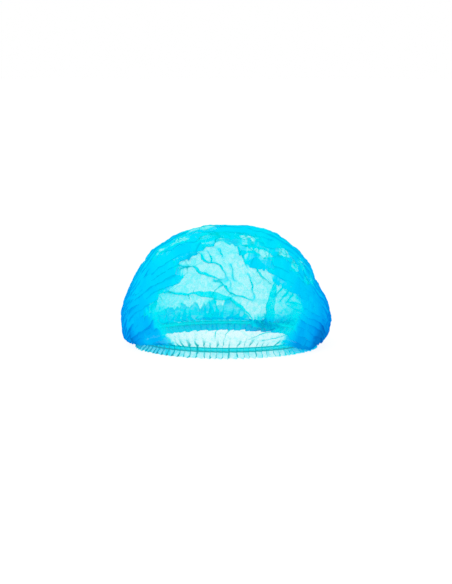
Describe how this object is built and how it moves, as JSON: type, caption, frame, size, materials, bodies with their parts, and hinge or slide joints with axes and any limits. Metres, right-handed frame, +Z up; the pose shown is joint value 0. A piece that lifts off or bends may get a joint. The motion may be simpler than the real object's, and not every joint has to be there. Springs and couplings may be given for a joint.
{
  "type": "disposable strip hairnet cap",
  "caption": "Puffed translucent hair cover of pleated non-woven cloth, open below, with sealed ends, gathered hems, flat elastics and frilled edges.",
  "frame": {"origin": "on the floor under the middle of the cap, in the plane of the frill's edge", "axes": "+X from the left sealed end to the right one as the front is looked at, -Y out of the front hem, +Z up through the crown"},
  "size_m": [0.2512, 0.187, 0.1419],
  "materials": {
    "cloth": "thin translucent bright blue non-woven, matt",
    "elastic": "flat woven elastic, matt",
    "sealed_cloth": "cloth bunched and heat sealed, slightly shiny"
  },
  "bodies": {
    "root": {"crown": "cloth", "elastic_front": "elastic", "elastic_rear": "elastic", "end_seal_left": "sealed_cloth", "end_seal_right": "sealed_cloth"}
  },
  "joints": []
}
